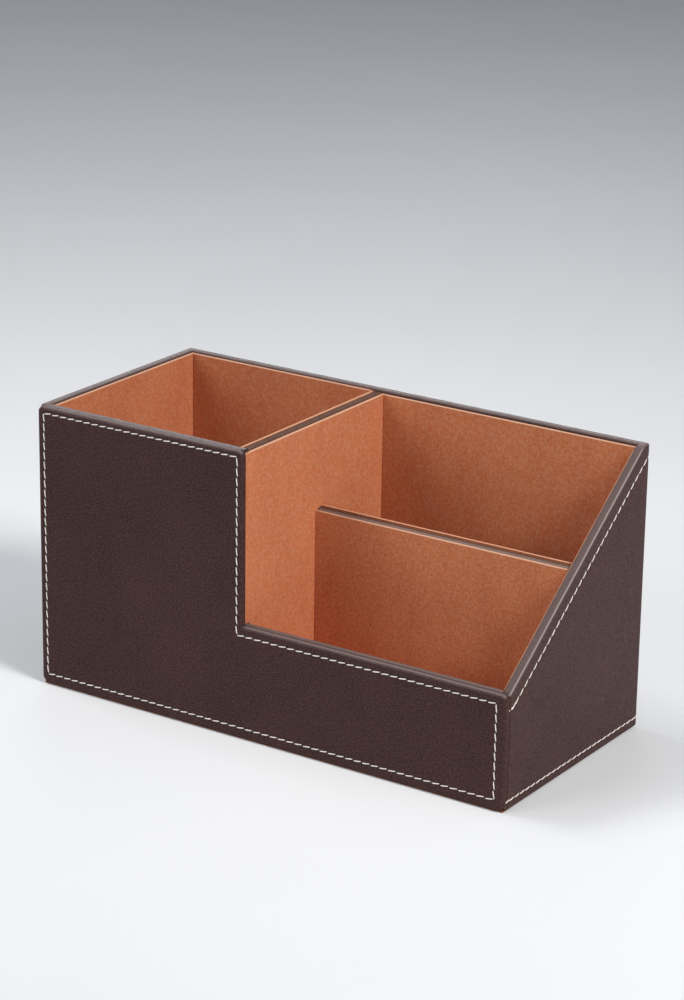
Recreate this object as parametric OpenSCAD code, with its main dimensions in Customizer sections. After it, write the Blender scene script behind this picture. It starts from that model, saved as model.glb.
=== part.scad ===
// Desk organizer: a leather-wrapped board box with a tall pen well on the left
// and a raked two-bay tray on the right, lined with suede on card.
// Millimetres. X runs along the front, Y to the back, Z up.
// The origin is at the middle of the underside.

/* [Overall] */
// Width over the leather
body_w = 215; // [170:1:260]
// Depth over the leather, front panel included
body_d = 100; // [80:1:140]
// Height of the pen well and of the back
body_h = 116; // [90:1:150]
// Height of the low front
front_low_h = 46.5; // [35:0.5:70]
// Outer width of the tall pen well, seen from the front
pen_w = 98; // [75:0.5:115]

/* [Bays] */
// Front face of the divider, measured behind the middle of the depth
divider_y = -1.4; // [-12:0.2:12]
// How far the divider stands below the rake at its front face
divider_drop = 0.6; // [0:0.2:12]

/* [Materials] */
// Leather thickness
leather_t = 0.6; // [0.4:0.1:1]
// Wall board thickness
board_t = 2.3; // [1.8:0.1:3.5]
// Thickness of the card inside the front panel
card_t = 1; // [0.6:0.1:2]
// Thickness of the suede lining on its card
lining_t = 1.1; // [0.7:0.1:2]
// Board inside the partition beside the pen well
partition_board_t = 2.8; // [1.8:0.1:4]
// Board inside the divider
divider_board_t = 1.6; // [1:0.1:3]
// Thickness of the suede under the base
felt_t = 0.8; // [0.5:0.1:2]

/* [Edges and hems] */
// Radius of the leather over a wall's top edge
rim_r = 1.1; // [0.9:0.05:1.6]
// Radius of the upright corners at the back
corner_r = 1.6; // [1.1:0.1:4]
// Radius of the front panel's corners, seen from the front
panel_r = 2.6; // [1.2:0.1:6]
// Radius round the front panel's face
panel_edge_r = 0.9; // [0.5:0.05:1.4]
// Depth of the leather turned down inside the top edges
hem_d = 12; // [6:0.5:20]
// Width of the leather turned behind the upright edges
side_hem_d = 8; // [4:0.5:15]
// Width of the leather turned under the base board
base_hem_d = 12; // [6:0.5:20]
// How far the base suede stays inside the outline
felt_inset = 1; // [0.5:0.1:4]
// How far the front panel stays inside the sides
panel_inset = 0.3; // [0:0.05:1]

/* [Linings] */
// How far the pen well's lining stops below the rim
pen_lining_drop = 1.2; // [0.4:0.1:4]
// How far the bays' lining stops below the rim
bay_lining_drop = 1.8; // [0.4:0.1:4]
// How far the partition's leather edge strip lies below the rim
partition_strip_drop = 1.4; // [0.4:0.1:4]
// How far the divider's leather edge strip lies below its lining
divider_strip_drop = 0.5; // [0.1:0.1:2]
// How far the divider's edge strip stops short of the partition
divider_strip_gap = 1.5; // [0.5:0.1:5]
// Radius of the lining in the front bay's right corner
bay_corner_r = 2; // [1:0.1:5]
// Radius of the partition lining's upper front corner
partition_lining_r = 2.5; // [0.5:0.1:6]

/* [Hidden] */
$fn = 48;

// Colours
leather_c = [0.24, 0.19, 0.18];
suede_c = [0.68, 0.38, 0.25];
board_c = [0.66, 0.60, 0.50];
felt_c = [0.62, 0.36, 0.24];

// Wall sections, from the leather's outer face to the inner face of its hem
core_t = leather_t + board_t + leather_t;
panel_t = leather_t + card_t + leather_t;

// Outer faces
x_left = -body_w / 2;
x_right = body_w / 2;
y_front = -body_d / 2;
y_back = body_d / 2;
y_body = y_front + panel_t;

// Inner faces of boards with their hems, where the linings start
x_in_left = x_left + core_t;
x_in_right = x_right - core_t;
y_in_back = y_back - core_t;
y_in_front = y_body + board_t + leather_t;

// Faces of the linings
x_well_left = x_in_left + lining_t;
x_bay_right = x_in_right - lining_t;
y_room_back = y_in_back - lining_t;
y_room_front = y_in_front + lining_t;

// Partition beside the pen well: lining, leather, board, leather, lining
x_bay_left = x_left + pen_w;
x_strip_right = x_bay_left - lining_t;
partition_strip_w = partition_board_t + 2 * leather_t;
x_strip_left = x_strip_right - partition_strip_w;
x_well_right = x_strip_left - lining_t;

// Divider between the bays: lining, leather, board, leather, lining
y_strip_front = divider_y + lining_t;
divider_strip_w = divider_board_t + 2 * leather_t;
y_strip_back = y_strip_front + divider_strip_w;
y_divider_back = y_strip_back + lining_t;

// Levels, from the underside up
z_cover = felt_t;
z_base = z_cover + leather_t;
z_floor = z_base + board_t;
z_floor_top = z_floor + lining_t;
pen_lining_z = [z_floor, body_h - pen_lining_drop];
bay_lining_z = [z_floor, body_h - bay_lining_drop];

// The rake runs from the low front up to the inner face of the back
rake_run = y_room_back - y_body;
rake_rise = body_h - front_low_h;
rake_a = atan2(rake_rise, rake_run);
rake_len = norm([rake_run, rake_rise]);
function rake_z(y) = front_low_h + rake_rise * (y - y_body) / rake_run;
divider_top = rake_z(divider_y) - divider_drop;

// Outline of the front panel
x_panel_left = x_left + panel_inset;
x_panel_right = x_right - panel_inset;

// Overlap of cutting tools past the faces that they cut, and into the board
cut = 1;
bite = cut / 4;
skim = cut / 50;

module block(x, y, z) {
    translate([x[0], y[0], z[0]])
        cube([x[1] - x[0], y[1] - y[0], z[1] - z[0]]);
}

// Upright profile with both top corners rounded
module rim_profile(w, h, r) {
    square([w, h - r]);
    translate([r, 0])
        square([w - 2 * r, h]);
    for (x = [r, w - r])
        translate([x, h - r])
            circle(r);
}

// A profile of X and Z, run from y[0] to y[1]
module along_y(y) {
    translate([0, y[1], 0])
        rotate([90, 0, 0])
            linear_extrude(y[1] - y[0])
                children();
}

// A profile of Y and Z, run from x[0] to x[1]
module along_x(x) {
    translate([x[0], 0, 0])
        rotate([90, 0, 90])
            linear_extrude(x[1] - x[0])
                children();
}

// A profile of X and height above the rake, run along the rake past both ends
module along_rake() {
    translate([0, y_body, front_low_h])
        rotate([rake_a, 0, 0])
            translate([0, rake_len + body_h, 0])
                rotate([90, 0, 0])
                    linear_extrude(rake_len + 2 * body_h)
                        children();
}

// Everything that lies more than depth below the rake
module below_rake(depth) {
    along_rake()
        translate([x_left, -2 * body_h - depth])
            square([body_w, 2 * body_h]);
}

// Plan of the wrapped box with rounded back corners, inset by t
module box_plan(t) {
    r = corner_r - t;
    x = [x_left + t, x_right - t];
    y = [y_body, y_back - t];
    translate([x[0], y[0]])
        square([x[1] - x[0], y[1] - y[0] - r]);
    translate([x[0] + r, y[0]])
        square([x[1] - x[0] - 2 * r, y[1] - y[0]]);
    for (xc = [x[0] + r, x[1] - r])
        translate([xc, y[1] - r])
            circle(r);
}

// Section of a wrapped wall: t is 0 for the leather and leather_t for the board in it
module wall_section(x, z, t) {
    translate([x + t, z])
        rim_profile(core_t - 2 * t, body_h - t - z, rim_r - t);
}

module left_wall(y, z, t) {
    along_y(y)
        wall_section(x_left, z, t);
}

// The raked wall, cut level behind the rake's upper end. Its raked profile is a little wider
// than the wall, whose side planes trim it.
module right_wall(y, z, t) {
    intersection() {
        along_rake()
            translate([x_in_right + t - skim, -2 * body_h])
                rim_profile(core_t - 2 * t + 2 * skim, 2 * body_h - t, rim_r - t);
        block([x_in_right + t, x_right - t], y, [z, body_h - t]);
    }
}

module back_wall(x, z, t) {
    along_x(x)
        translate([y_back - core_t + t, z])
            rim_profile(core_t - 2 * t, body_h - t - z, rim_r - t);
}

// Outer form of the wrapped walls, mitred at the back corners
module three_walls(z) {
    x = [x_left - cut, x_in_left + cut, x_in_right - cut, x_right + cut];
    y = [y_front, y_in_back - cut, y_back + cut];
    intersection() {
        union() {
            intersection() {
                left_wall([y_body, y_back], z, 0);
                linear_extrude(body_h)
                    polygon([[x[0], y[0]], [x[1], y[0]], [x[1], y[1]], [x[0], y[2]]]);
            }
            intersection() {
                right_wall([y_body, y_back], z, 0);
                linear_extrude(body_h)
                    polygon([[x[3], y[0]], [x[2], y[0]], [x[2], y[1]], [x[3], y[2]]]);
            }
            intersection() {
                back_wall([x_left, x_right], z, 0);
                linear_extrude(body_h)
                    polygon([[x[0], y[2]], [x[1], y[1]], [x[2], y[1]], [x[3], y[2]]]);
            }
        }
        linear_extrude(body_h)
            box_plan(0);
    }
}

// Rectangle with rounded corners
module rounded_rect(x, z, r) {
    translate([x[0] + r, z[0]])
        square([x[1] - x[0] - 2 * r, z[1] - z[0]]);
    translate([x[0], z[0] + r])
        square([x[1] - x[0], z[1] - z[0] - 2 * r]);
    for (xc = [x[0] + r, x[1] - r], zc = [z[0] + r, z[1] - r])
        translate([xc, zc])
            circle(r);
}

// Outline of the front panel in X and Z, inset by t
module panel_outline(t) {
    rounded_rect([x_panel_left + t, x_bay_left - t], [z_cover + t, body_h - t], panel_r - t);
    rounded_rect([x_panel_left + t, x_panel_right - t], [z_cover + t, front_low_h - t], panel_r - t);
}

// The wrapped front panel, its face edge rolled over in steps of a quarter round
module soft_panel(x, z) {
    steps = 4;
    hull() {
        for (i = [0 : steps]) {
            a = 90 * i / steps;
            inset = panel_edge_r * (1 - sin(a));
            depth = panel_edge_r * (1 - cos(a));
            along_y([y_front + depth, y_body])
                rounded_rect([x[0] + inset, x[1] - inset], [z[0] + inset, z[1] - inset],
                    panel_r - inset, $fn = 32);
        }
    }
}

// Rail over the front board's top, from the face to the hem inside
module front_rail(x, top, t) {
    along_x(x)
        translate([y_front + t, top - hem_d])
            rim_profile(y_in_front - y_front - 2 * t, hem_d - t, rim_r - t);
}

module front_board_shape() {
    top_r = rim_r - leather_t;
    intersection() {
        union() {
            along_x([x_in_left, x_strip_right])
                translate([y_body - cut, z_floor])
                    rim_profile(board_t + cut, body_h - leather_t - z_floor, top_r);
            along_x([x_in_left, x_in_right])
                translate([y_body - cut, z_floor])
                    rim_profile(board_t + cut, front_low_h - leather_t - z_floor, top_r);
        }
        block([x_left, x_right], [y_body, y_in_front], [0, body_h]);
    }
}

module base_board() {
    color(board_c)
        intersection() {
            block([x_left, x_right], [y_body, y_back], [z_base, z_floor]);
            linear_extrude(body_h)
                box_plan(leather_t);
        }
}

module left_board() {
    color(board_c)
        intersection() {
            left_wall([y_body + leather_t, y_back - leather_t], z_floor, leather_t);
            linear_extrude(body_h)
                box_plan(leather_t);
        }
}

module right_board() {
    color(board_c)
        intersection() {
            right_wall([y_body + leather_t, y_back - leather_t], z_floor, leather_t);
            linear_extrude(body_h)
                box_plan(leather_t);
        }
}

module back_board() {
    color(board_c)
        back_wall([x_left + leather_t + board_t, x_right - leather_t - board_t], z_floor, leather_t);
}

module front_board() {
    color(board_c)
        front_board_shape();
}

module partition_board() {
    color(board_c)
        block([x_strip_left + leather_t, x_strip_right - leather_t], [y_in_front, y_in_back],
            [z_floor, body_h - partition_strip_drop - leather_t]);
}

module divider_board() {
    color(board_c)
        block([x_bay_left, x_bay_right], [y_strip_front + leather_t, y_strip_back - leather_t],
            [z_floor, divider_top - divider_strip_drop - leather_t]);
}

module front_card() {
    color(board_c)
        along_y([y_front + leather_t, y_front + leather_t + card_t])
            panel_outline(leather_t);
}

// Leather round the left, back and right walls, turned in at the top, front and underside
module wrap_cover() {
    color(leather_c)
        difference() {
            union() {
                three_walls(z_cover);
                difference() {
                    block([x_left + core_t / 2, x_right - core_t / 2], [y_body, y_back - core_t / 2],
                        [z_cover, z_base]);
                    block([x_left + base_hem_d, x_right - base_hem_d],
                        [y_body - cut, y_back - base_hem_d], [0, body_h]);
                }
            }
            left_board();
            right_board();
            back_board();
            base_board();
            wrap_inside();
        }
}

// Space inside the wrap where no leather is turned in
module wrap_inside() {
    hem_top = body_h - hem_d;
    block([x_in_left - leather_t - bite, x_in_left + cut],
        [y_body + side_hem_d, y_back - leather_t - board_t], [z_floor, hem_top]);
    block([x_in_left - leather_t - bite, x_in_right + leather_t + bite],
        [y_in_back - cut, y_back - leather_t - board_t], [z_floor, hem_top]);
    intersection() {
        block([x_in_right - cut, x_in_right + leather_t + bite],
            [y_body + side_hem_d, y_back - leather_t - board_t], [z_floor, hem_top]);
        below_rake(hem_d);
    }
}

// Leather over the L-shaped front: turned behind its card at the sides and the underside,
// and over the front board's top edges down to a hem inside
module front_cover() {
    color(leather_c)
        difference() {
            union() {
                soft_panel([x_panel_left, x_bay_left], [z_cover, body_h]);
                soft_panel([x_panel_left, x_panel_right], [z_cover, front_low_h]);
                front_rail([x_in_left, x_strip_right], body_h, 0);
                front_rail([x_strip_right, x_in_right], front_low_h, 0);
            }
            front_card();
            front_board_shape();
            along_y([y_front + leather_t + card_t / 2, y_body])
                panel_middle();
        }
}

// The front panel's middle in X and Z, where no leather is turned behind the card
module panel_middle() {
    x0 = x_panel_left + side_hem_d;
    z0 = z_cover + side_hem_d;
    translate([x0, z0])
        square([x_bay_left - side_hem_d - x0, body_h - leather_t - z0]);
    translate([x0, z0])
        square([x_panel_right - side_hem_d - x0, front_low_h - leather_t - z0]);
}

// Leather folded over the partition's top edge
module partition_strip() {
    top = body_h - partition_strip_drop;
    color(leather_c)
        difference() {
            along_y([y_in_front, y_in_back])
                translate([x_strip_left, top - hem_d])
                    rim_profile(partition_strip_w, hem_d, rim_r);
            partition_board();
        }
}

// Leather folded over the divider's top edge, with a round end beside the partition
module divider_strip() {
    top = divider_top - divider_strip_drop;
    r = divider_strip_w / 2;
    x0 = x_bay_left + divider_strip_gap;
    color(leather_c)
        difference() {
            intersection() {
                along_x([x0, x_bay_right])
                    translate([y_strip_front, top - hem_d])
                        rim_profile(divider_strip_w, hem_d, rim_r);
                linear_extrude(body_h) {
                    translate([x0 + r, y_strip_front + r])
                        circle(r);
                    translate([x0 + r, y_strip_front])
                        square([x_bay_right - x0 - r, divider_strip_w]);
                }
            }
            divider_board();
        }
}

module lining(x, y, z) {
    color(suede_c)
        block(x, y, z);
}

module pen_lining_left() {
    lining([x_in_left, x_well_left], [y_in_front, y_in_back], pen_lining_z);
}

module pen_lining_right() {
    lining([x_well_right, x_strip_left], [y_in_front, y_in_back], pen_lining_z);
}

module pen_lining_back() {
    lining([x_well_left, x_well_right], [y_room_back, y_in_back], pen_lining_z);
}

module pen_lining_front() {
    lining([x_well_left, x_well_right], [y_in_front, y_room_front], pen_lining_z);
}

module pen_floor_lining() {
    lining([x_well_left, x_well_right], [y_room_front, y_room_back], [z_floor, z_floor_top]);
}

// The partition's lining on the bay side runs forward over the front board's end,
// with its upper front corner rounded
module bay_lining_partition() {
    r = partition_lining_r;
    top = bay_lining_z[1];
    color(suede_c)
        along_x([x_strip_right, x_bay_left]) {
            translate([y_in_front, z_floor])
                square([y_in_back - y_in_front, top - z_floor]);
            translate([y_body, front_low_h])
                square([y_in_front - y_body + cut, top - r - front_low_h]);
            translate([y_body + r, front_low_h])
                square([y_in_back - y_body - r, top - front_low_h]);
            translate([y_body + r, top - r])
                circle(r);
        }
}

module bay_lining_back() {
    lining([x_bay_left, x_in_right], [y_room_back, y_in_back], bay_lining_z);
}

module bay_lining_right() {
    color(suede_c)
        intersection() {
            block([x_bay_right, x_in_right], [y_in_front, y_room_back], bay_lining_z);
            below_rake(bay_lining_drop);
        }
}

// The front bay's lining curves round into the right side
module bay_lining_front() {
    r = bay_corner_r;
    color(suede_c)
        translate([0, 0, z_floor])
            linear_extrude(front_low_h - bay_lining_drop - z_floor) {
                translate([x_bay_left, y_in_front])
                    square([x_bay_right - x_bay_left, lining_t]);
                difference() {
                    translate([x_bay_right - r, y_room_front])
                        square([r, r]);
                    translate([x_bay_right - r, y_room_front + r])
                        circle(r);
                }
            }
}

module divider_lining_front() {
    lining([x_bay_left, x_bay_right], [divider_y, y_strip_front], [z_floor, divider_top]);
}

module divider_lining_rear() {
    lining([x_bay_left, x_bay_right], [y_strip_back, y_divider_back], [z_floor, divider_top]);
}

module front_bay_floor_lining() {
    r = bay_corner_r;
    color(suede_c)
        translate([0, 0, z_floor])
            linear_extrude(lining_t) {
                translate([x_bay_left, y_room_front])
                    square([x_bay_right - r - x_bay_left, divider_y - y_room_front]);
                translate([x_bay_left, y_room_front + r])
                    square([x_bay_right - x_bay_left, divider_y - y_room_front - r]);
                translate([x_bay_right - r, y_room_front + r])
                    circle(r);
            }
}

module rear_bay_floor_lining() {
    lining([x_bay_left, x_bay_right], [y_divider_back, y_room_back], [z_floor, z_floor_top]);
}

module base_felt() {
    color(felt_c)
        block([x_left + felt_inset, x_right - felt_inset],
            [y_front + felt_inset, y_back - felt_inset], [0, felt_t]);
}

base_board();
left_board();
back_board();
right_board();
front_board();
partition_board();
divider_board();
front_card();
wrap_cover();
front_cover();
partition_strip();
divider_strip();
pen_lining_left();
pen_lining_back();
pen_lining_front();
pen_lining_right();
pen_floor_lining();
bay_lining_partition();
bay_lining_back();
bay_lining_right();
bay_lining_front();
divider_lining_front();
divider_lining_rear();
front_bay_floor_lining();
rear_bay_floor_lining();
base_felt();
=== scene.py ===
"""Stitched leather and suede looks for the desk organizer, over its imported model."""
import math

import bmesh
import bpy
import numpy as np
from mathutils import Matrix, Vector, noise


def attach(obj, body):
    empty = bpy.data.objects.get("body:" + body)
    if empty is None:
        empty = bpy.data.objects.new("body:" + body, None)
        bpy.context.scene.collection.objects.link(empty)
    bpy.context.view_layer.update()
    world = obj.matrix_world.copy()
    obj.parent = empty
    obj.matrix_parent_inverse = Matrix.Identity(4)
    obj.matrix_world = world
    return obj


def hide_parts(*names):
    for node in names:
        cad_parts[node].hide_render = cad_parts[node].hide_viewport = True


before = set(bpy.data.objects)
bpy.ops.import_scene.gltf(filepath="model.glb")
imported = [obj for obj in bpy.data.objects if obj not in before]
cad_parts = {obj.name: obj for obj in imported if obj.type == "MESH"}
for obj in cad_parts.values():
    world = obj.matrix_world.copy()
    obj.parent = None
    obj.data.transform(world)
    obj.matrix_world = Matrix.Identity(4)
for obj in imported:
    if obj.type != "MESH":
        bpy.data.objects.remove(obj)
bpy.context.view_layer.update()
MM = 0.001
WELD = 0.002 * MM
SLIVER = 0.001 * MM
SHARP = 42
SEAM_SHARP = 80

# Faces of the organizer in millimetres, as in the model's source
X_LEFT = -107.5
X_RIGHT = 107.5
Y_FRONT = -50.0
Y_BODY = -47.8
Y_BACK = 50.0
TOP = 116.0
LOW_TOP = 46.5
Z_COVER = 0.8
Z_BASE = 1.4
LEATHER_T = 0.6
CORE_T = 3.5
HEM = 12.0
X_IN_LEFT = X_LEFT + CORE_T
X_IN_RIGHT = X_RIGHT - CORE_T
Y_IN_FRONT = -44.9
Y_IN_BACK = Y_BACK - CORE_T
Y_RAKE_END = 45.4
RAKE_SLOPE = (TOP - LOW_TOP) / (Y_RAKE_END - Y_BODY)
TALL_X = -9.5
X_STRIP = (-14.6, -10.6)

# Leather round the walls
CORNER_R = 1.0
RIM_R = 1.0
FOOT_R = 0.6
END_R = 0.9
FOOT_REACH = 0.6 * CORE_T
WRAP_START = -46.9
WRAP_STEP = 1.3
FACE_STEPS = 6
BEND_BELOW = 4.0
BEND_EASE = 0.8
CORNER_FADE = 2.5

# Where ripples of the leather calm down, in millimetres
RIM_SOFT = 2.5
FOOT_CALM = 6.0
SIDE_CALM = 8.0
DIP_CALM = 2.0

# Ripples: how high, how long, and a seed
WALL_SWELL = (0.07, 21.0, 3.0)
WALL_DIP = (0.12, 9.0, 7.0)
FRONT_DIP = (0.12, 9.0, 11.0)
PANEL_RIPPLE = (0.05, 17.0, 5.0)
CREST_DIP = (0.07, 8.0, 2.0)
THREAD_TURN = (0.03, 1.7, 9.0)
NAP_SIZE = (0.07, 3.0)
NAP_SINK = 0.05

# Painted highlight on the rims, laid into the leather's colour. A shine of two values is that of a level rim
# and what a slope adds, and a place and a size are inwards and downwards.
SLOPE_GAIN = 4
RIDGE_SHINE = (0.2, 0.8)
RIDGE_PLACE = (0.25, 0.35)
RIDGE_SIZE = (0.28, 0.4)
FLAT_SHINE = (0.4, -0.2)
FLAT_SIZE = 0.5
RAIL_SHINE = 0.35
PANEL_SHINE = 0.45
PANEL_SHINE_AT = 0.75

# Front panel
EDGES = ("bottom", "right", "low", "tall", "top", "left")
INNER_CORNER = 3
PANEL_X = (-107.2, 107.2)
PANEL_R = 2.6
PANEL_ROLL = (1.35, 1.15)
PANEL_DEPTH = Y_BODY - Y_FRONT
# How far the panel's back ring is drawn in, and over what depth
PANEL_HEEL = (0.02, 0.1)
PANEL_FACE_INSETS = (9.0, 6.6)
PANEL_STEP = 1.6
PANEL_LEAST_STEPS = 8
PANEL_TOP_BAND = 1.2
DIP_FROM = 0.2
NEAR = 0.1
RAIL_LAND = 1.0
RAIL_STEP = 1.5
RAIL_END_TOP = 0.3
RAIL_END_ROWS = ((0.0, 0.0), (0.2, 0.03), (0.38, 0.25))
RAIL_END_SHARE = 0.3

# Edge strips. A tip is the length of the rounded end and how far it falls, and the painted highlight's place
# and size are shares of half the width.
STRIP_STEP = 1.3
PARTITION_STRIP_TOP = TOP - 1.0
PARTITION_TIP = (1.6, 0.35)
PARTITION_HOLLOW = 0.25
DIVIDER_STRIP_DROP = 0.5
DIVIDER_STRIP_GAP = 0.1
DIVIDER_TIP = (0.9, 0.3)
DIVIDER_HOLLOW = 0.35
DIVIDER_SHINE = 0.45
TIP_CLEAR = 1.02
TIP_PINCH = 0.8
BEND_SHARE = 0.7
LEAST_BEND = 0.05
LEAST_HALF = 0.04
STRIP_SHINE_PLACE = (-0.9, 0.3)

# Stitches
PITCH = 3.85
STITCH_LEN = 4.0
STITCH_ARCH = (0.12, 0.42)
STITCH_TAPER = 0.9
THREAD_R = 0.24
THREAD_FLAT = 0.85
THREAD_SINK = 0.75
STITCH_SLANT = math.radians(8)
# Beads of painted shade at the needle holes
HOLE_SIZE = (0.34, 0.24, 0.1)
HOLE_SHIFT = 0.28
HOLE_SINK = 0.62
GROOVE_DEPTH = 0.26
GROOVE_WIDTH = 0.55
GROOVE_ROWS = (-1.3, -0.85, -0.45, 0.0, 0.45, 0.85, 1.3)
GROOVE_ROUND_FROM = -0.6
GROOVE_ROUND_R = 0.5
Z_STITCH_LOW = 4.3
Z_STITCH_LEVEL = 110.3
SIDE_STITCH = (74.25, 0.74)
FRONT_STITCH = {"left": 3.0, "top": 2.7, "tall": 2.6, "low": 4.0, "right": 4.2, "bottom": 3.9}

# Suede sheets: roundings, insets of their rows, and edge values, which paint a highlight on upward room-side
# edges and shade at the wall
ROOM_EDGE_R = 0.25
WALL_EDGE_R = 0.35
WALL_INSETS = (1.4, 0.85)
ROOM_ROWS = ((0.5, 0.25), (1.0, 0.0))
WALL_SHADE = (-1.0, 1.8)
ROOM_SHADE = (0.6, 0.4)
OUTLINE_STEP = 4.0
SEED_STEP = 1.7
FELT_SEED = 31.0

# Linings
PEN_TOP = TOP - 0.8
BAY_TOP = TOP - 1.3
FLOOR = 3.7
FLOOR_TOP = 4.8
WELL_X = (-102.9, -15.7)
BAY_X = (TALL_X, 102.9)
ROOM_Y = (-43.8, 45.4)
DIVIDER_Y = (-1.4, -0.3, 2.5, 3.6)
LINING_DROP = 1.8
PEN_RIGHT_DROP = 0.3
DIVIDER_DROP = 0.6
DIVIDER_FRONT_DROP = 1.1
PARTITION_R = 1.0
PARTITION_LEDGE = 0.15
BAY_R = 2.0
FELT_INSET = 1.0

# Studio
FLOOR_FRONT = -4.0
FLOOR_BACK = 3.0
FLOOR_HALF = 6.0
FLOOR_RISE = 5.0
FLOOR_R = 1.2
FLOOR_TURN = math.radians(33.62)
LAMP_SPREAD = math.radians(60)
# Each lamp's place, target, size, power and colour
LAMPS = {
    "key": ((1.43, -0.27, 1.33), (0, 0, 0.05), (0.57, 0.57), 3.5, (1.0, 0.97, 0.93)),
    "fill": ((-1.28, -1.88, 1.1), (0, 0, 0.05), (1.5, 1.35), 2.72, (0.97, 0.98, 1.0)),
    "top": ((-1.08, -0.15, 1.76), (0, 0, 0.08), (0.83, 0.6), 1.55, (1.0, 0.98, 0.97)),
    "kicker": ((-1.28, 1.95, 0.85), (0, 0, 0.1), (1.35, 0.6), 1.25, (0.95, 0.97, 1.0)),
}
WORLD_COLOUR = (0.93, 0.95, 1.0, 1.0)
WORLD_STRENGTH = 0.3
CAMERA_PLACE = (0.62717, -0.94051, 0.47544)
CAMERA_AXES = (
    (0.829943, -0.193152, 0.523342),
    (0.557668, 0.263459, -0.787144),
    (0.01416, 0.945136, 0.326371),
)
CAMERA_LENS = 111.86
CAMERA_SENSOR = 36.0
CAMERA_CLIP = 50.0


def srgb(r, g, b):
    """Linear colour of an sRGB one from 0 to 255"""
    out = []
    for c in (r, g, b):
        c = c / 255
        out.append(c / 12.92 if c <= 0.04045 else ((c + 0.055) / 1.055) ** 2.4)
    return (*out, 1.0)


def ripple(kind, x, y, z):
    """Smooth noise in millimetres, of a height, a size and a seed"""
    height, size, seed = kind
    return height * noise.noise(Vector((x / size + seed, y / size - seed, z / size)))


def fade(distance, width):
    """A bell that falls from 1 with the distance"""
    return math.exp(-((distance / width) ** 2))


def arc(steps):
    """Angles of a quarter turn"""
    return [math.radians(90.0 * i / steps) for i in range(steps + 1)]


def rake(y):
    """Height of the raked rim"""
    return LOW_TOP + RAKE_SLOPE * (y - Y_BODY)


def groove(d):
    """Depth of a stitch row's groove beside its middle"""
    return GROOVE_DEPTH * fade(d, GROOVE_WIDTH)


# Meshes

def make_object(name, shape, material, nodes, sharp=SHARP):
    """A closed mesh object in millimetres that rides on the root body

    A fourth value of a vertex is its edge value, which the materials read.
    """
    verts, faces = shape
    mesh = bpy.data.meshes.new(name)
    mesh.from_pydata([tuple(c * MM for c in v[:3]) for v in verts], [], faces)
    layer = mesh.attributes.new("edge", "FLOAT", "POINT")
    layer.data.foreach_set("value", [v[3] if len(v) > 3 else 0.0 for v in verts])
    bm = bmesh.new()
    bm.from_mesh(mesh)
    bmesh.ops.remove_doubles(bm, verts=bm.verts, dist=WELD)
    bmesh.ops.dissolve_degenerate(bm, edges=bm.edges, dist=SLIVER)
    bmesh.ops.recalc_face_normals(bm, faces=bm.faces)
    bm.to_mesh(mesh)
    bm.free()
    for poly in mesh.polygons:
        poly.use_smooth = True
    mesh.set_sharp_from_angle(angle=math.radians(sharp))
    mesh.materials.append(material)
    piece = bpy.data.objects.new(name, mesh)
    bpy.context.scene.collection.objects.link(piece)
    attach(piece, "root")
    if nodes:
        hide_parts(*nodes)
    return piece


def loft(columns):
    """Vertices and faces of a solid through columns of points, each a closed loop"""
    columns = np.asarray(columns, dtype=float)
    count, rows = columns.shape[:2]
    faces = []
    for c in range(count - 1):
        for r in range(rows):
            s = (r + 1) % rows
            faces.append((c * rows + r, (c + 1) * rows + r, (c + 1) * rows + s, c * rows + s))
    faces.append(tuple(range(rows)))
    faces.append(tuple((count - 1) * rows + r for r in reversed(range(rows))))
    return columns.reshape(-1, columns.shape[2]), faces


def stack(rings):
    """Vertices and faces of a solid from outlines laid over one another"""
    count = len(rings[0])
    faces = []
    for k in range(len(rings) - 1):
        for i in range(count):
            j = (i + 1) % count
            faces.append((k * count + i, k * count + j, (k + 1) * count + j, (k + 1) * count + i))
    faces.append(tuple(range(count))[::-1])
    faces.append(tuple((len(rings) - 1) * count + i for i in range(count)))
    return [p for ring in rings for p in ring], faces


def join(shapes):
    """Several shapes as one"""
    verts = []
    faces = []
    start = 0
    for v, f in shapes:
        verts.extend(tuple(p) for p in v)
        faces.extend(tuple(i + start for i in face) for face in f)
        start += len(v)
    return verts, faces


# Leather wrapped round the left, back and right walls

def wrap_columns():
    """Places along the wrap, each a side and how far along it, from the left wall's front round the back"""
    out = []
    for y in np.arange(WRAP_START, Y_BACK - CORNER_R, WRAP_STEP):
        out.append(("left", float(y)))
    out.append(("left", Y_BACK - CORNER_R))
    for a in arc(6)[1:-1]:
        out.append(("corner_left", a))
    for x in np.arange(X_LEFT + CORNER_R, X_RIGHT - CORNER_R, WRAP_STEP):
        out.append(("back", float(x)))
    out.append(("back", X_RIGHT - CORNER_R))
    for a in arc(6)[1:-1]:
        out.append(("corner_right", a))
    for y in np.arange(WRAP_START, Y_BACK - CORNER_R, WRAP_STEP)[::-1]:
        out.append(("right", float(y)))
    return out


def wrap_plan(column, n):
    """Plan point of a column at an inward offset n"""
    side, p = column
    lead = max(n, CORNER_R)
    if side == "left":
        return X_LEFT + n, min(p, Y_BACK - lead)
    if side == "right":
        return X_RIGHT - n, min(p, Y_BACK - lead)
    if side == "back":
        return min(max(p, X_LEFT + lead), X_RIGHT - lead), Y_BACK - n
    reach = max(CORNER_R - n, 0.0)
    if side == "corner_left":
        return X_LEFT + lead - reach * math.cos(p), Y_BACK - lead + reach * math.sin(p)
    return X_RIGHT - lead + reach * math.sin(p), Y_BACK - lead + reach * math.cos(p)


def wrap_top(column):
    """Height of the rim and the vertical stretch of its rounding"""
    side = column[0]
    x, y = wrap_plan(column, 0.0)
    if side in ("left", "corner_left"):
        return TOP, 1.0
    d = TOP - rake(y)
    root = math.sqrt(d * d + BEND_EASE * BEND_EASE)
    drop = 0.5 * (d + root)
    slope = RAKE_SLOPE * 0.5 * (1 + d / root)
    if side == "back":
        drop *= math.exp(-(X_RIGHT - CORNER_R - x) / CORNER_FADE)
        slope = 0.0
    return TOP - drop, math.sqrt(1 + slope * slope)


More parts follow.
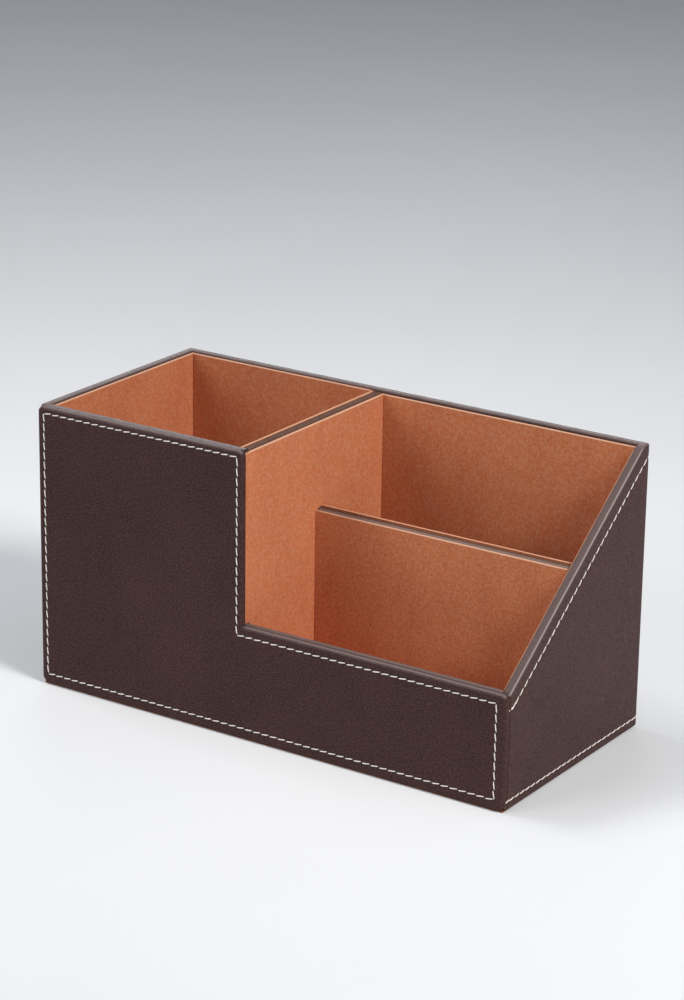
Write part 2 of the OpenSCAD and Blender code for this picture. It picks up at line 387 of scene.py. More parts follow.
def side_row(y):
    """Height of the stitch row that follows the rake"""
    return SIDE_STITCH[0] + SIDE_STITCH[1] * y


def stitch_height(column):
    """Height of the upper stitch row at a column"""
    y = wrap_plan(column, 0.0)[1]
    if column[0] == "right":
        return min(side_row(y), Z_STITCH_LEVEL)
    return Z_STITCH_LEVEL


def rim_shine(n, drop, stretch):
    """How much painted highlight the leather's colour gets at an inward offset and a depth under the rim"""
    slope = min((stretch - 1) * SLOPE_GAIN, 1.0)
    ridge = fade(n - RIDGE_PLACE[0], RIDGE_SIZE[0]) * fade(drop - RIDGE_PLACE[1], RIDGE_SIZE[1])
    flat = fade(drop, FLAT_SIZE)
    return max((RIDGE_SHINE[0] + RIDGE_SHINE[1] * slope) * ridge,
               (FLAT_SHINE[0] + FLAT_SHINE[1] * slope) * flat)


def outer_profile(top, stretch, z_stitch, inset=0.0):
    """Inward offsets and heights from the underside up over the rim to the inner face"""
    out = [(FOOT_REACH, Z_COVER), (FOOT_R + inset, Z_COVER)]
    for a in arc(4):
        out.append((FOOT_R - FOOT_R * math.sin(a) + inset, Z_COVER + FOOT_R - FOOT_R * math.cos(a)))
    for d in GROOVE_ROWS:
        out.append((groove(d) + inset, Z_STITCH_LOW + d))
    low = Z_STITCH_LOW + GROOVE_ROWS[-1]
    high = z_stitch + GROOVE_ROWS[0] * stretch
    for i in range(1, FACE_STEPS):
        out.append((inset, low + (high - low) * i / FACE_STEPS))
    for d in GROOVE_ROWS:
        out.append((groove(d) + inset, z_stitch + d * stretch))
    out.append((inset, 0.5 * (z_stitch + GROOVE_ROWS[-1] * stretch + top - RIM_R * stretch)))
    for a in arc(6):
        out.append((RIM_R - RIM_R * math.cos(a) + inset,
                    top - RIM_R * stretch * (1 - math.sin(a)) - inset))
    out.append((CORE_T / 2, top - inset))
    for a in arc(6)[::-1]:
        out.append((CORE_T - RIM_R + RIM_R * math.cos(a) - inset,
                    top - RIM_R * stretch * (1 - math.sin(a)) - inset))
    return out


def wrap_loop(column):
    """One closed loop of the wrap: outer face, rim, hem, and back along its inner side"""
    side = column[0]
    top, stretch = wrap_top(column)
    x0, y0 = wrap_plan(column, 0.0)
    swell = ripple(WALL_SWELL, x0, y0, 0.0)
    dip = ripple(WALL_DIP, x0, y0, 0.0) * (1.0 - math.exp(-((abs(x0) - X_RIGHT) ** 2) / DIP_CALM))
    side_share = min(1.0, (Y_BACK - y0) / SIDE_CALM)

    t = LEATHER_T
    r = RIM_R - t
    hem_end = max(top - HEM * stretch, Z_BASE + 3 * t)
    points = [(HEM, Z_COVER)] + outer_profile(top, stretch, stitch_height(column))
    points += [(CORE_T, 0.5 * (top + hem_end)), (CORE_T, hem_end), (CORE_T - t, hem_end)]
    for a in arc(3):
        points.append((CORE_T - t - r + r * math.cos(a), top - t * stretch - r * stretch * (1 - math.sin(a))))
    for a in arc(3)[::-1]:
        points.append((t + r - r * math.cos(a), top - t * stretch - r * stretch * (1 - math.sin(a))))
    points += [(t, 0.5 * (top + Z_BASE)), (t, Z_BASE), (HEM, Z_BASE)]

    loop = []
    for n, z in points:
        x, y = wrap_plan(column, n)
        push = swell * min(max((z - Z_COVER) / FOOT_CALM, 0.0), 1.0)
        if side == "back":
            y += push
        elif side == "left":
            x -= push * side_share
        elif side == "right":
            x += push * side_share
        drop = abs(dip) * fade(top - z, RIM_SOFT)
        # the fourth value is the rim's painted highlight
        loop.append((x, y, z - drop, rim_shine(n, (top - z) / stretch, stretch)))
    return loop


def wrap_end(side):
    """The leather folded round a side wall's front edge"""
    columns = []
    for a in arc(5)[::-1]:
        y = Y_BODY + END_R - END_R * math.cos(a)
        inset = END_R - END_R * math.sin(a)
        column = (side, y)
        top, stretch = wrap_top(column)
        loop = []
        for n, z in outer_profile(top, stretch, stitch_height(column), inset) + [(CORE_T - inset, Z_COVER)]:
            x = X_LEFT + n if side == "left" else X_RIGHT - n
            loop.append((x, y, z, rim_shine(n - inset, (top - z) / stretch, stretch)))
        columns.append(loop)
    return loft(columns)


# The L-shaped front panel

def even(inset):
    """The same inset for all the panel's edges"""
    return {edge: inset for edge in EDGES}


def panel_corners(insets):
    """Corners of the front panel in X and Z, with each edge moved inwards by its own inset"""
    bottom = Z_COVER + insets["bottom"]
    right = PANEL_X[1] - insets["right"]
    low = LOW_TOP - insets["low"]
    tall = TALL_X - insets["tall"]
    top = TOP - insets["top"]
    left = PANEL_X[0] + insets["left"]
    return [(left, bottom), (right, bottom), (right, low), (tall, low), (tall, top), (left, top)]


def panel_ring(insets, r):
    """The panel's outline at one inset, in points of X and Z, as many on every ring"""
    corners = [Vector(c) for c in panel_corners(insets)]
    outermost = panel_corners(even(0.0))
    out = []
    for i, a in enumerate(corners):
        j = (i + 1) % len(corners)
        b = corners[j]
        before = (corners[i - 1] - a).normalized()
        along = (b - a).normalized()
        ra = 0.0 if i == INNER_CORNER else r
        rb = 0.0 if j == INNER_CORNER else r
        centre = a + (before + along) * ra
        for angle in arc(6):
            out.append(tuple(centre - before * ra * math.sin(angle) - along * ra * math.cos(angle)))
        steps = max(int(math.dist(outermost[i], outermost[j]) / PANEL_STEP), PANEL_LEAST_STEPS)
        start = a + along * ra
        end = b - along * rb
        for k in range(1, steps):
            out.append(tuple(start + (end - start) * k / steps))
    return out


def front_panel():
    """Closed solid of the front panel: face, rolled edge, sides and back"""
    rings = [(even(inset), 0.0, 0.0) for inset in PANEL_FACE_INSETS]
    for d in GROOVE_ROWS[::-1]:
        insets = {edge: FRONT_STITCH[edge] + d for edge in EDGES}
        rings.append((insets, 0.0 if d > GROOVE_ROUND_FROM else GROOVE_ROUND_R, groove(d)))
    for a in arc(7)[::-1]:
        inset = PANEL_ROLL[0] * (1 - math.cos(a))
        rings.append((even(inset), PANEL_R - inset, PANEL_ROLL[1] * (1 - math.sin(a))))
    rings.append((even(0.0), PANEL_R, PANEL_DEPTH - PANEL_HEEL[1]))
    rings.append((even(PANEL_HEEL[0]), PANEL_R - PANEL_HEEL[0], PANEL_DEPTH))

    points = []
    for insets, r, d in rings:
        ring = []
        face = max(0.0, 1 - d / PANEL_ROLL[1])
        for x, z in panel_ring(insets, r):
            push = ripple(PANEL_RIPPLE, x, 0.0, z) * face
            rim = TOP if x < TALL_X + NEAR else LOW_TOP
            dip = 0.0
            shine = 0.0
            # painted highlight along the panel's top roll, carried as the edge value
            if rim - z < PANEL_TOP_BAND:
                shine = PANEL_SHINE * fade(d - PANEL_SHINE_AT, FLAT_SIZE)
                if d >= DIP_FROM:
                    dip = abs(ripple(FRONT_DIP, x, 0.0, 0.0))
            ring.append((x, Y_FRONT + d + push, z - dip, shine))
        points.append(ring)
    return stack(points)


def front_rail(x, top):
    """Leather over the front board's top edge, down to a hem inside"""
    t = LEATHER_T
    r = RIM_R - t
    profile = [(Y_BODY, top), (Y_BODY + RAIL_LAND, top)]
    for a in arc(5)[::-1]:
        profile.append((Y_IN_FRONT - RIM_R + RIM_R * math.cos(a), top - RIM_R + RIM_R * math.sin(a)))
    profile += [(Y_IN_FRONT, top - BEND_BELOW), (Y_IN_FRONT, top - HEM), (Y_IN_FRONT - t, top - HEM)]
    for a in arc(3):
        profile.append((Y_IN_FRONT - t - r + r * math.cos(a), top - t - r + r * math.sin(a)))
    profile.append((Y_BODY, top - t))
    columns = []
    steps = int((x[1] - x[0]) / RAIL_STEP)
    for i in range(steps + 1):
        px = x[0] + (x[1] - x[0]) * i / steps
        dip = abs(ripple(FRONT_DIP, px, 0.0, 0.0))
        # the fourth value paints a highlight along the rail's top
        columns.append([(px, y, z - dip * fade(top - z, RIM_SOFT), RAIL_SHINE * fade(top - z, FLAT_SIZE))
                        for y, z in profile])
    return loft(columns)


def rail_end(x, top):
    """Leather over the board's end beside the partition's lining"""
    profile = [(Y_BODY, top - HEM), (Y_BODY, top - RAIL_END_TOP)]
    for a in arc(4)[::-1]:
        profile.append((Y_IN_FRONT - RIM_R + RIM_R * math.cos(a), top - RIM_R + RIM_R * math.sin(a)))
    profile.append((Y_IN_FRONT, top - HEM))
    mid = (Y_BODY + Y_IN_FRONT) / 2
    columns = []
    for d, shrink in RAIL_END_ROWS:
        columns.append([(x + d, mid + (y - mid) * (1 - shrink * RAIL_END_SHARE), z - shrink)
                        for y, z in profile])
    return loft(columns)


# Leather strips folded over the partition and the divider

def folded_strip(axis, along, across, top, hollow, tip, shine):
    """An inverted channel of leather with a hollow top, whose first end is rounded"""
    t = LEATHER_T
    half = (across[1] - across[0]) / 2
    mid = (across[0] + across[1]) / 2
    tip_length, tip_fall = tip
    steps = int((along[1] - along[0]) / STRIP_STEP)
    places = [along[0] + tip_length * (1 - math.cos(a)) for a in arc(5)]
    for i in range(steps + 1):
        p = along[0] + (along[1] - along[0]) * i / steps
        if p > along[0] + tip_length * TIP_CLEAR:
            places.append(p)

    columns = []
    for p in places:
        d = p - along[0]
        width = 1.0
        if d < tip_length:
            width = math.sqrt(1 - TIP_PINCH * ((tip_length - d) / tip_length) ** 2)
        h = half * width
        r = min(RIM_R, h * BEND_SHARE)
        ri = max(r - t, LEAST_BEND)
        hi = max(h - t, LEAST_HALF)
        crest = top - (1 - width) * tip_fall - abs(ripple(CREST_DIP, p, 0.0, 0.0))
        loop = [(-h, top - HEM), (-h, crest - BEND_BELOW)]
        for a in arc(5):
            loop.append((-h + r - r * math.cos(a), crest - r + r * math.sin(a)))
        loop.append((0.0, crest - hollow))
        for a in arc(5)[::-1]:
            loop.append((h - r + r * math.cos(a), crest - r + r * math.sin(a)))
        loop += [(h, crest - BEND_BELOW), (h, top - HEM), (hi, top - HEM)]
        for a in arc(2):
            loop.append((hi - ri + ri * math.cos(a), crest - t - ri + ri * math.sin(a)))
        loop.append((0.0, crest - t - hollow * 0.5))
        for a in arc(2)[::-1]:
            loop.append((-hi + ri - ri * math.cos(a), crest - t - ri + ri * math.sin(a)))
        loop.append((-hi, top - HEM))
        column = []
        for u, z in loop:
            # painted highlight near one side of the strip's top, as the edge value
            glow = shine * fade(u / h - STRIP_SHINE_PLACE[0], STRIP_SHINE_PLACE[1])
            column.append((mid + u, p, z, glow) if axis == "y" else (p, mid + u, z, glow))
        columns.append(column)
    return loft(columns)


# Suede linings as sheets with soft edges

def offset_outline(points, t):
    """Points of a counter-clockwise polygon moved inwards by t, each with how far it faces up"""
    out = []
    count = len(points)
    for i in range(count):
        p = Vector(points[i])
        u = (p - Vector(points[i - 1])).normalized()
        v = (Vector(points[(i + 1) % count]) - p).normalized()
        middle = Vector((-u.y, u.x)) + Vector((-v.y, v.x))
        scale = 2 / max(middle.length_squared, 0.5)
        out.append((p + middle * scale * t, max(-middle.normalized().y, 0.0)))
    return out


def outline(points):
    """Polygon with extra points along its edges"""
    out = []
    for i in range(len(points)):
        a = Vector(points[i])
        b = Vector(points[(i + 1) % len(points)])
        count = max(int((b - a).length / OUTLINE_STEP), 1)
        for j in range(count):
            out.append(tuple(a + (b - a) * j / count))
    return out


def suede_sheet(points, depth, axes, seed, wall):
    """A soft-edged sheet: outline in axes 0 and 1, thickness along axis 2, rounder at its wall side"""
    w0, w1 = depth if wall == 0 else depth[::-1]
    way = 1 if w1 > w0 else -1
    r = WALL_EDGE_R
    q = ROOM_EDGE_R
    rows = [(inset, w0, 0.0) for inset in WALL_INSETS]
    for a in arc(4):
        rows.append((r - r * math.sin(a), w0 + way * (r - r * math.cos(a)),
                     WALL_SHADE[0] + WALL_SHADE[1] * math.sin(a)))
    for a in arc(3)[::-1]:
        rows.append((q - q * math.sin(a), w1 - way * (q - q * math.cos(a)),
                     ROOM_SHADE[0] + ROOM_SHADE[1] * math.sin(a)))
    rows += [(inset, w1, edge) for inset, edge in ROOM_ROWS]

    base = outline(points)
    rings = []
    for inset, w, edge in rows:
        ring = []
        for p, lift in offset_outline(base, inset):
            # edge value: painted highlight on upward edges, painted shade at the wall side
            glow = edge * lift if edge > 0 else edge
            place = [0.0, 0.0, 0.0]
            place[axes[0]] = p.x
            place[axes[1]] = p.y
            place[axes[2]] = w
            place[axes[1]] += (ripple((*NAP_SIZE, seed), *place) - NAP_SINK) * max(glow, 0.0)
            ring.append((*place, glow))
        rings.append(ring)
    return stack(rings)


def rectangle(a, b):
    return [(a[0], a[1]), (b[0], a[1]), (b[0], b[1]), (a[0], b[1])]


# Stitches

def unit_stitch():
    """A thread capsule along X whose ends dip below the leather"""
    rings = 9
    sides = 8
    columns = []
    for i in range(rings):
        u = -1 + 2 * i / (rings - 1)
        r = THREAD_R * math.sqrt(1 - STITCH_TAPER * abs(u) ** 3)
        z = STITCH_ARCH[0] - STITCH_ARCH[1] * abs(u) ** 4
        angles = [2 * math.pi * j / sides for j in range(sides)]
        columns.append([(u * STITCH_LEN / 2, r * math.cos(a), z + r * THREAD_FLAT * math.sin(a))
                        for a in angles])
    return loft(columns)


def unit_hole():
    """A small flat dark bead, the painted shade of a needle hole"""
    levels = 4
    sides = 8
    columns = []
    for i in range(1, levels):
        a = math.pi * i / levels
        angles = [2 * math.pi * j / sides for j in range(sides)]
        columns.append([(HOLE_SIZE[0] * math.sin(a) * math.cos(b), HOLE_SIZE[1] * math.sin(a) * math.sin(b),
                         HOLE_SIZE[2] * math.cos(a)) for b in angles])
    return loft(columns)


def seam(path, out):
    """Stitches and the painted shade beads of their needle holes along straight runs, as two lists of shapes
    """
    stitch_v, stitch_f = unit_stitch()
    hole_v, hole_f = unit_hole()
    threads = []
    holes = []
    out = Vector(out)
    for a, b in zip(path, path[1:]):
        a = Vector(a)
        b = Vector(b)
        length = (b - a).length
        count = max(round(length / PITCH), 1)
        pitch = length / count
        along = (b - a).normalized()
        side = out.cross(along)
        for i in range(count):
            centre = a + along * pitch * (i + 0.5) - out * GROOVE_DEPTH * THREAD_SINK
            angle = STITCH_SLANT + ripple(THREAD_TURN, *centre)
            m = Matrix((
                along * math.cos(angle) + side * math.sin(angle),
                side * math.cos(angle) - along * math.sin(angle),
                out,
            )).transposed()
            threads.append(([centre + m @ Vector(v) for v in stitch_v], stitch_f))
            spot = a + along * pitch * i - side * HOLE_SHIFT - out * GROOVE_DEPTH * HOLE_SINK
            holes.append(([spot + m @ Vector(v) for v in hole_v], hole_f))
    return threads, holes


# Materials

def new_material(name):
    """A material's node tree, its shader and the object's own coordinates"""
    material = bpy.data.materials.new(name)
    material.use_nodes = True
    tree = material.node_tree
    where = tree.nodes.new("ShaderNodeTexCoord")
    return material, tree, tree.nodes["Principled BSDF"], where.outputs["Object"]


def noise_node(tree, place, scale, detail=3.0, rough=0.55):
    node = tree.nodes.new("ShaderNodeTexNoise")
    node.inputs["Scale"].default_value = scale
    node.inputs["Detail"].default_value = detail
    node.inputs["Roughness"].default_value = rough
    tree.links.new(place, node.inputs["Vector"])
    return node.outputs["Fac"]


def edge_value(tree):
    """The mesh's edge value"""
    node = tree.nodes.new("ShaderNodeAttribute")
    node.attribute_name = "edge"
    return node.outputs["Fac"]


def ramp(tree, fac, span, colours):
    """A blend from one colour to another over a span"""
    node = tree.nodes.new("ShaderNodeValToRGB")
    for element, position, colour in zip(node.color_ramp.elements, span, colours):
        element.position = position
        element.color = colour
    tree.links.new(fac, node.inputs["Fac"])
    return node.outputs["Color"]


def remap(tree, fac, span, result):
    """A value moved from one span to another, and kept inside it"""
    node = tree.nodes.new("ShaderNodeMapRange")
    node.inputs["From Min"].default_value = span[0]
    node.inputs["From Max"].default_value = span[1]
    node.inputs["To Min"].default_value = result[0]
    node.inputs["To Max"].default_value = result[1]
    tree.links.new(fac, node.inputs["Value"])
    return node.outputs["Result"]


def mix(tree, fac, under, colour):
    """A colour laid over another by a factor"""
    node = tree.nodes.new("ShaderNodeMix")
    node.data_type = "RGBA"
    tree.links.new(fac, node.inputs["Factor"])
    tree.links.new(under, node.inputs["A"])
    node.inputs["B"].default_value = colour
    return node.outputs["Result"]


def bump(tree, height, strength, distance, before=None):
    node = tree.nodes.new("ShaderNodeBump")
    node.inputs["Strength"].default_value = strength
    node.inputs["Distance"].default_value = distance
    tree.links.new(height, node.inputs["Height"])
    if before:
        tree.links.new(before, node.inputs["Normal"])
    return node.outputs["Normal"]


def leather_material(name, dark, light, fleck, rough):
    """Grained leather with a painted highlight where the edge value says so"""
    material, tree, shader, place = new_material(name)
    broad = noise_node(tree, place, scale=34.0)
    speck = noise_node(tree, place, scale=1500.0, detail=4.0, rough=0.7)
    fine = noise_node(tree, place, scale=2600.0, detail=4.0, rough=0.6)
    swell = noise_node(tree, place, scale=210.0)
    cells = tree.nodes.new("ShaderNodeTexVoronoi")
    cells.feature = "DISTANCE_TO_EDGE"
    cells.inputs["Scale"].default_value = 1300.0
    tree.links.new(place, cells.inputs["Vector"])
    crease = remap(tree, cells.outputs["Distance"], (0.0, 0.25), (0.0, 1.0))

    colour = ramp(tree, broad, (0.32, 0.7), (dark, light))
    colour = mix(tree, remap(tree, speck, (0.43, 0.6), (0.0, 0.52)), colour, fleck)
    colour = mix(tree, remap(tree, crease, (0.0, 1.0), (0.45, 0.0)), colour, CREASE)
    # painted highlight: the edge value blends the colour towards a pale grey
    colour = mix(tree, remap(tree, edge_value(tree), (0.0, 1.0), (0.0, 0.55)), colour, PAINTED_RIM_HIGHLIGHT)
    tree.links.new(colour, shader.inputs["Base Color"])
    tree.links.new(remap(tree, fine, (0.3, 0.7), (rough, rough + 0.14)), shader.inputs["Roughness"])
    shader.inputs["Specular IOR Level"].default_value = 0.05

    normal = bump(tree, crease, strength=0.4, distance=0.00012)
    normal = bump(tree, fine, strength=0.22, distance=0.00012, before=normal)
    normal = bump(tree, swell, strength=0.1, distance=0.0006, before=normal)
    tree.links.new(normal, shader.inputs["Normal"])
    return material


def suede_material(name, deep, dark, light, pale):
    """Suede with a mottled upright nap, a painted highlight on its edges and painted shade at the wall joints
    """
    material, tree, shader, place = new_material(name)
    upright = tree.nodes.new("ShaderNodeMapping")
    upright.inputs["Scale"].default_value = (1.0, 1.0, 0.35)
    tree.links.new(place, upright.inputs["Vector"])
    patch = noise_node(tree, upright.outputs["Vector"], scale=75.0, detail=5.0, rough=0.6)
    nap = noise_node(tree, place, scale=1700.0, detail=4.0, rough=0.75)
    tuft = noise_node(tree, place, scale=800.0, detail=3.0, rough=0.6)
    edge = edge_value(tree)

    colour = ramp(tree, patch, (0.3, 0.72), (dark, light))
    colour = mix(tree, remap(tree, nap, (0.38, 0.62), (0.55, 0.0)), colour, deep)
    colour = mix(tree, remap(tree, tuft, (0.42, 0.7), (0.0, 0.26)), colour, pale)
    # painted highlight on the sheets' upward edges
    colour = mix(tree, remap(tree, edge, (0.2, 1.0), (0.0, 0.8)), colour, pale)
    # painted shade where the sheet meets the wall
    colour = mix(tree, remap(tree, edge, (-1.0, -0.2), (0.85, 0.0)), colour, WALL_GAP_SHADE)
    tree.links.new(colour, shader.inputs["Base Color"])
    shader.inputs["Roughness"].default_value = 0.92
    shader.inputs["Specular IOR Level"].default_value = 0.15
    shader.inputs["Sheen Weight"].default_value = 0.35
    shader.inputs["Sheen Roughness"].default_value = 0.5
    shader.inputs["Sheen Tint"].default_value = srgb(235, 160, 120)

    normal = bump(tree, patch, strength=0.08, distance=0.0005)
    normal = bump(tree, nap, strength=0.3, distance=0.00025, before=normal)
    tree.links.new(normal, shader.inputs["Normal"])
    return material


def two_tones(tree, shader, tone, span, colours, rough):
    """Two tones blended by a noise, and one roughness"""
    tree.links.new(ramp(tree, tone, span, colours), shader.inputs["Base Color"])
    shader.inputs["Roughness"].default_value = rough


def thread_material():
    """Cream twisted thread"""
    material, tree, shader, place = new_material("thread")
    tone = noise_node(tree, place, scale=900.0)
    two_tones(tree, shader, tone, (0.3, 0.7), (srgb(220, 212, 202), srgb(246, 240, 232)), rough=0.7)
    twist = tree.nodes.new("ShaderNodeTexWave")
    twist.wave_type = "BANDS"
    twist.bands_direction = "DIAGONAL"
    twist.inputs["Scale"].default_value = 620.0
    twist.inputs["Distortion"].default_value = 1.5
    tree.links.new(place, twist.inputs["Vector"])
    tree.links.new(bump(tree, twist.outputs["Fac"], strength=0.4, distance=0.0001), shader.inputs["Normal"])
    return material


def hole_material():
    """Shadowed leather inside a needle hole"""
    material, tree, shader, place = new_material("needle_hole_shade")
    tone = noise_node(tree, place, scale=1500.0)
    two_tones(tree, shader, tone, (0.3, 0.7), (srgb(18, 13, 12), srgb(34, 26, 24)), rough=0.85)
    return material


def board_material():
    """Pressed fibre board with flecks"""
    material, tree, shader, place = new_material("board")
    fleck = noise_node(tree, place, scale=650.0, detail=5.0, rough=0.7)
    two_tones(tree, shader, fleck, (0.35, 0.65), (srgb(150, 132, 104), srgb(184, 168, 142)), rough=0.88)
    tree.links.new(bump(tree, fleck, strength=0.3, distance=0.0002), shader.inputs["Normal"])
    return material


def stage_material():
    """Pale studio floor"""
    material, tree, shader, place = new_material("studio_floor")
    tone = noise_node(tree, place, scale=3.0)
    two_tones(tree, shader, tone, (0.2, 0.8), (srgb(226, 229, 232), srgb(233, 235, 238)), rough=0.85)
    shader.inputs["Specular IOR Level"].default_value = 0.2
    return material


CREASE = srgb(32, 22, 21)
# Pale grey of the painted rim highlights
PAINTED_RIM_HIGHLIGHT = srgb(200, 190, 186)
# Painted shade in the gap between lining and wall
WALL_GAP_SHADE = srgb(62, 36, 28)
LEATHER = leather_material("leather", dark=srgb(60, 41, 41), light=srgb(70, 48, 47),
                           fleck=srgb(108, 81, 78), rough=0.28)
STRIP_LEATHER = leather_material("strip_leather", dark=srgb(97, 67, 55), light=srgb(107, 75, 62),
                                 fleck=srgb(126, 95, 80), rough=0.6)
SUEDE = suede_material("suede", deep=srgb(148, 80, 48), dark=srgb(197, 115, 75),
                       light=srgb(212, 131, 86), pale=srgb(214, 178, 153))
BASE_SUEDE = suede_material("base_suede", deep=srgb(70, 40, 26), dark=srgb(92, 56, 36),
                            light=srgb(104, 65, 42), pale=srgb(104, 65, 42))
THREAD = thread_material()
HOLE_SHADE = hole_material()
BOARD = board_material()

# Boards and card stay as they are packed
for node in ("base_board", "left_board", "back_board", "right_board", "front_board",
             "partition_board", "divider_board", "front_card"):
    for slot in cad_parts[node].material_slots:
        slot.material = BOARD

# Leather
wrap = loft([wrap_loop(c) for c in wrap_columns()])
make_object("leather_wrap", join([wrap, wrap_end("left"), wrap_end("right")]), LEATHER,
            ["wrap_cover"])

rails = [front_rail((X_IN_LEFT, X_STRIP[1]), TOP), front_rail((X_STRIP[1], X_IN_RIGHT), LOW_TOP),
         rail_end(X_STRIP[1], TOP)]
make_object("leather_front", join([front_panel()] + rails), LEATHER, ["front_cover"])

partition_strip = folded_strip("y", (Y_IN_FRONT, Y_IN_BACK), X_STRIP, PARTITION_STRIP_TOP,
                               PARTITION_HOLLOW, PARTITION_TIP, shine=0.0)
make_object("leather_partition_strip", partition_strip, STRIP_LEATHER, ["partition_strip"])

DIVIDER_TOP = rake(DIVIDER_Y[0]) - DIVIDER_DROP
divider_strip = folded_strip("x", (BAY_X[0] + DIVIDER_STRIP_GAP, BAY_X[1]), DIVIDER_Y[1:3],
                             DIVIDER_TOP - DIVIDER_STRIP_DROP, DIVIDER_HOLLOW, DIVIDER_TIP, DIVIDER_SHINE)
make_object("leather_divider_strip", divider_strip, STRIP_LEATHER, ["divider_strip"])

# Linings: each one's outline, its depth, the axes of both, and the side of the depth at the wall
XZ = (0, 2, 1)
YZ = (1, 2, 0)
XY = (0, 1, 2)
FLOOR_Z = (FLOOR, FLOOR_TOP)
FRONT_Y = (Y_IN_FRONT, ROOM_Y[0])
BACK_Y = (ROOM_Y[1], Y_IN_BACK)
corner = [(Y_BODY + PARTITION_R - PARTITION_R * math.sin(a), BAY_TOP - PARTITION_R + PARTITION_R * math.cos(a))
          for a in arc(4)]
ledge = LOW_TOP + PARTITION_LEDGE
partition_outline = [(Y_IN_FRONT, FLOOR), (Y_IN_BACK, FLOOR), (Y_IN_BACK, BAY_TOP), *corner,
                     (Y_BODY, ledge), (Y_IN_FRONT, ledge)]
rake_drop = LINING_DROP * math.sqrt(1 + RAKE_SLOPE ** 2)
right_outline = [(Y_IN_FRONT, FLOOR), (ROOM_Y[1], FLOOR), (ROOM_Y[1], rake(ROOM_Y[1]) - rake_drop),
                 (Y_IN_FRONT, rake(Y_IN_FRONT) - rake_drop)]
floor_corner = [(BAY_X[1] - BAY_R + BAY_R * math.sin(a), ROOM_Y[0] + BAY_R - BAY_R * math.cos(a))
                for a in arc(4)]
front_outline = [(BAY_X[0], Y_IN_FRONT), (BAY_X[1], Y_IN_FRONT), *floor_corner[::-1], (BAY_X[0], ROOM_Y[0])]
floor_outline = [(BAY_X[0], ROOM_Y[0]), *floor_corner, (BAY_X[1], DIVIDER_Y[0]), (BAY_X[0], DIVIDER_Y[0])]
SHEETS = {
    "pen_lining_left": (rectangle((Y_IN_FRONT, FLOOR), (Y_IN_BACK, PEN_TOP)), (X_IN_LEFT, WELL_X[0]), YZ, 0),
    "pen_lining_right": (rectangle((Y_IN_FRONT, FLOOR), (Y_IN_BACK, PEN_TOP - PEN_RIGHT_DROP)),
                         (WELL_X[1], X_STRIP[0]), YZ, 1),
    "pen_lining_back": (rectangle((WELL_X[0], FLOOR), (WELL_X[1], PEN_TOP)), BACK_Y, XZ, 1),
    "pen_lining_front": (rectangle((WELL_X[0], FLOOR), (WELL_X[1], PEN_TOP)), FRONT_Y, XZ, 0),
    "pen_floor_lining": (rectangle((WELL_X[0], ROOM_Y[0]), (WELL_X[1], ROOM_Y[1])), FLOOR_Z, XY, 0),
    "bay_lining_partition": (partition_outline, (X_STRIP[1], TALL_X), YZ, 0),
    "bay_lining_back": (rectangle((BAY_X[0], FLOOR), (X_IN_RIGHT, BAY_TOP)), BACK_Y, XZ, 1),
    "bay_lining_right": (right_outline, (BAY_X[1], X_IN_RIGHT), YZ, 1),
    "bay_lining_front": (front_outline, (FLOOR, LOW_TOP - LINING_DROP), XY, 0),
    "divider_lining_front": (rectangle((BAY_X[0], FLOOR), (BAY_X[1], DIVIDER_TOP - DIVIDER_FRONT_DROP)),
                             DIVIDER_Y[:2], XZ, 1),
    "divider_lining_rear": (rectangle((BAY_X[0], FLOOR), (BAY_X[1], DIVIDER_TOP)), DIVIDER_Y[2:], XZ, 0),
    "front_bay_floor_lining": (floor_outline, FLOOR_Z, XY, 0),
    "rear_bay_floor_lining": (rectangle((BAY_X[0], DIVIDER_Y[3]), (BAY_X[1], ROOM_Y[1])), FLOOR_Z, XY, 0),
}
for number, (node, (points, depth, axes, wall)) in enumerate(SHEETS.items()):
    sheet = suede_sheet(points, depth, axes, number * SEED_STEP, wall)
    make_object("suede_" + node, sheet, SUEDE, [node])

felt = rectangle((X_LEFT + FELT_INSET, Y_FRONT + FELT_INSET), (X_RIGHT - FELT_INSET, Y_BACK - FELT_INSET))
make_object("suede_base", suede_sheet(felt, (0.0, Z_COVER), XY, FELT_SEED, 0), BASE_SUEDE,
            ["base_felt"])

# Stitch rows: each one's corners and the way it faces
front_corners = [(x, Y_FRONT, z) for x, z in panel_corners(FRONT_STITCH)]
SIDE_START = (X_RIGHT - 0.5, -48.7)
BACK_X = X_RIGHT - 1.8
LEFT_Y = (48.2, -46.6)
ROWS = {
    "front": (front_corners + front_corners[:1], (0, -1, 0)),
    "side_top": ([(*SIDE_START, 39.9), (X_RIGHT, -45.6, 40.7), (X_RIGHT, -44.4, side_row(-44.4)),
                  (X_RIGHT, 48.4, side_row(48.4))], (1, 0, 0)),
    "side_low": ([(*SIDE_START, Z_STITCH_LOW - 0.6), (X_RIGHT, -46.2, Z_STITCH_LOW),
                  (X_RIGHT, 49.0, Z_STITCH_LOW)], (1, 0, 0)),
    "back_top": ([(BACK_X, Y_BACK, Z_STITCH_LEVEL), (-BACK_X, Y_BACK, Z_STITCH_LEVEL)], (0, 1, 0)),
    "back_low": ([(BACK_X, Y_BACK, Z_STITCH_LOW), (-BACK_X, Y_BACK, Z_STITCH_LOW)], (0, 1, 0)),
    "left_top": ([(X_LEFT, y, Z_STITCH_LEVEL) for y in LEFT_Y], (-1, 0, 0)),
    "left_low": ([(X_LEFT, y, Z_STITCH_LOW) for y in LEFT_Y], (-1, 0, 0)),
}
all_holes = []
for name, (path, out) in ROWS.items():
    threads, holes = seam(path, out)
    make_object("stitches_" + name, join(threads), THREAD, [], sharp=SEAM_SHARP)
    all_holes += holes
# dark beads that paint the shade in the needle holes
make_object("needle_hole_shades", join(all_holes), HOLE_SHADE, [], sharp=SEAM_SHARP)


# Stage, light and camera

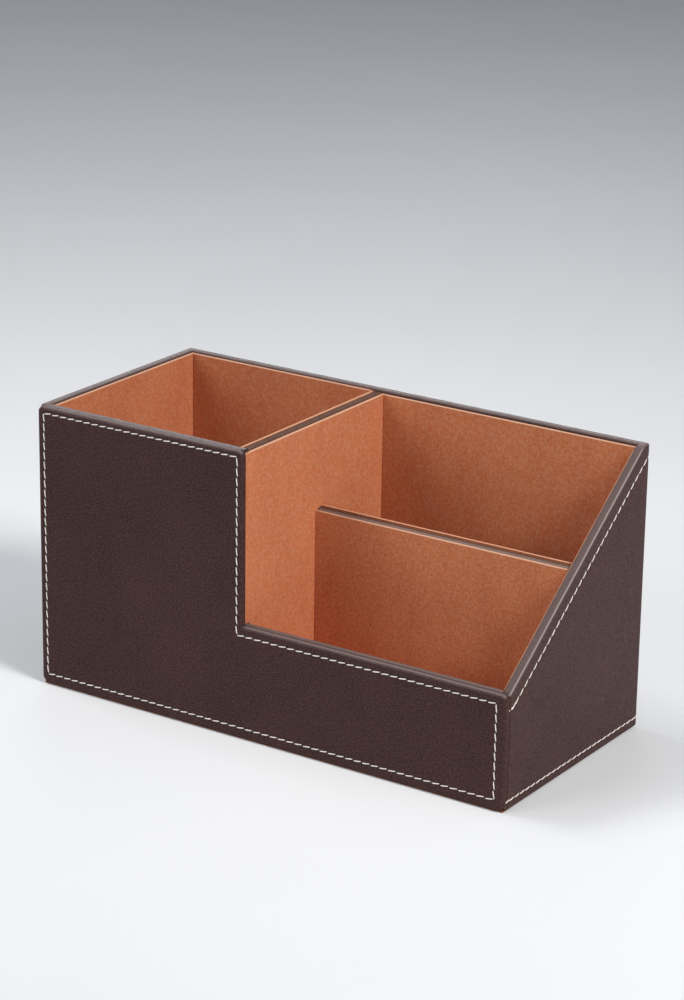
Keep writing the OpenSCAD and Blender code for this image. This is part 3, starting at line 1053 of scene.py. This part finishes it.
def make_floor():
    """A pale floor that curves up far behind the organizer"""
    line = [(FLOOR_FRONT, 0.0), (FLOOR_BACK - FLOOR_R, 0.0)]
    for a in arc(16)[1:]:
        line.append((FLOOR_BACK - FLOOR_R + FLOOR_R * math.sin(a), FLOOR_R - FLOOR_R * math.cos(a)))
    line.append((FLOOR_BACK, FLOOR_RISE))
    verts = []
    for x in (-FLOOR_HALF, FLOOR_HALF):
        for y, z in line:
            verts.append((x * math.cos(FLOOR_TURN) - y * math.sin(FLOOR_TURN),
                          x * math.sin(FLOOR_TURN) + y * math.cos(FLOOR_TURN), z))
    count = len(line)
    faces = [(i, i + 1, count + i + 1, count + i) for i in range(count - 1)]
    mesh = bpy.data.meshes.new("studio_floor")
    mesh.from_pydata(verts, [], faces)
    for poly in mesh.polygons:
        poly.use_smooth = True
    mesh.materials.append(stage_material())
    floor = bpy.data.objects.new("studio_floor", mesh)
    bpy.context.scene.collection.objects.link(floor)


def area_light(name, place, target, size, power, colour):
    lamp = bpy.data.lights.new(name, "AREA")
    lamp.shape = "RECTANGLE"
    lamp.size = size[0]
    lamp.size_y = size[1]
    lamp.energy = power
    lamp.color = colour
    lamp.spread = LAMP_SPREAD
    obj = bpy.data.objects.new(name, lamp)
    obj.location = place
    obj.rotation_euler = (Vector(target) - Vector(place)).to_track_quat("-Z", "Y").to_euler()
    bpy.context.scene.collection.objects.link(obj)


make_floor()
for name, settings in LAMPS.items():
    area_light(name, *settings)

world = bpy.data.worlds.new("studio")
world.use_nodes = True
world.node_tree.nodes["Background"].inputs["Color"].default_value = WORLD_COLOUR
world.node_tree.nodes["Background"].inputs["Strength"].default_value = WORLD_STRENGTH
bpy.context.scene.world = world
bpy.context.scene.view_settings.view_transform = "Standard"

camera_data = bpy.data.cameras.new("camera")
camera_data.lens = CAMERA_LENS
camera_data.sensor_width = CAMERA_SENSOR
camera_data.clip_end = CAMERA_CLIP
camera = bpy.data.objects.new("camera", camera_data)
camera.matrix_world = Matrix.Translation(CAMERA_PLACE) @ Matrix(CAMERA_AXES).to_4x4()
bpy.context.scene.collection.objects.link(camera)
bpy.context.scene.camera = camera
